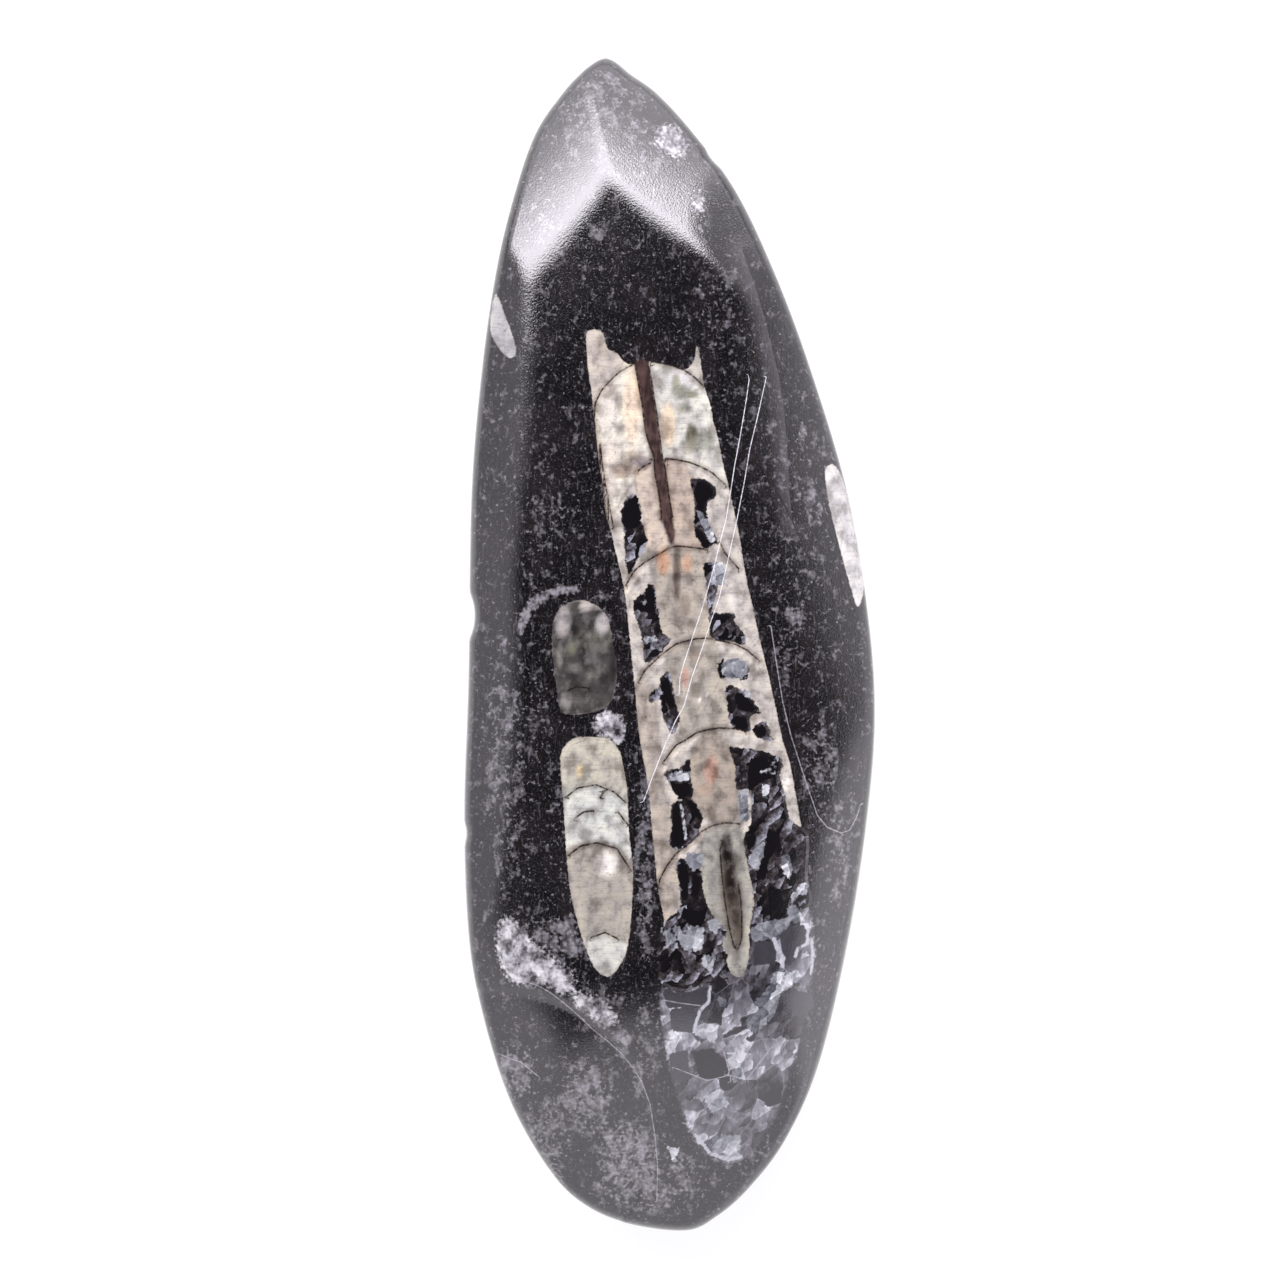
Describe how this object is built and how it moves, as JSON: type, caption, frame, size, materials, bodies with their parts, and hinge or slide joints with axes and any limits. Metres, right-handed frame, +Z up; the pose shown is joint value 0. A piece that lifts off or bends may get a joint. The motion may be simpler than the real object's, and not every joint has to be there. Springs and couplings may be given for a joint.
{
  "type": "orthoceras fossil",
  "caption": "Hand-sized piece of black limestone, ground to a long pointed leaf shape and polished, showing two chambered cone-shaped shells in pale calcite. It lies on its back.",
  "frame": {"origin": "middle of the bounding box, on the flat lapped back that the stone rests on", "axes": "+Y towards the pointed end, +Z up out of the polished face, +X to the right as the face is looked down on"},
  "size_m": [0.0416, 0.12, 0.0186],
  "materials": {
    "limestone": "polished"
  },
  "bodies": {
    "root": {"polished_fossil_stone": "limestone"}
  },
  "joints": []
}
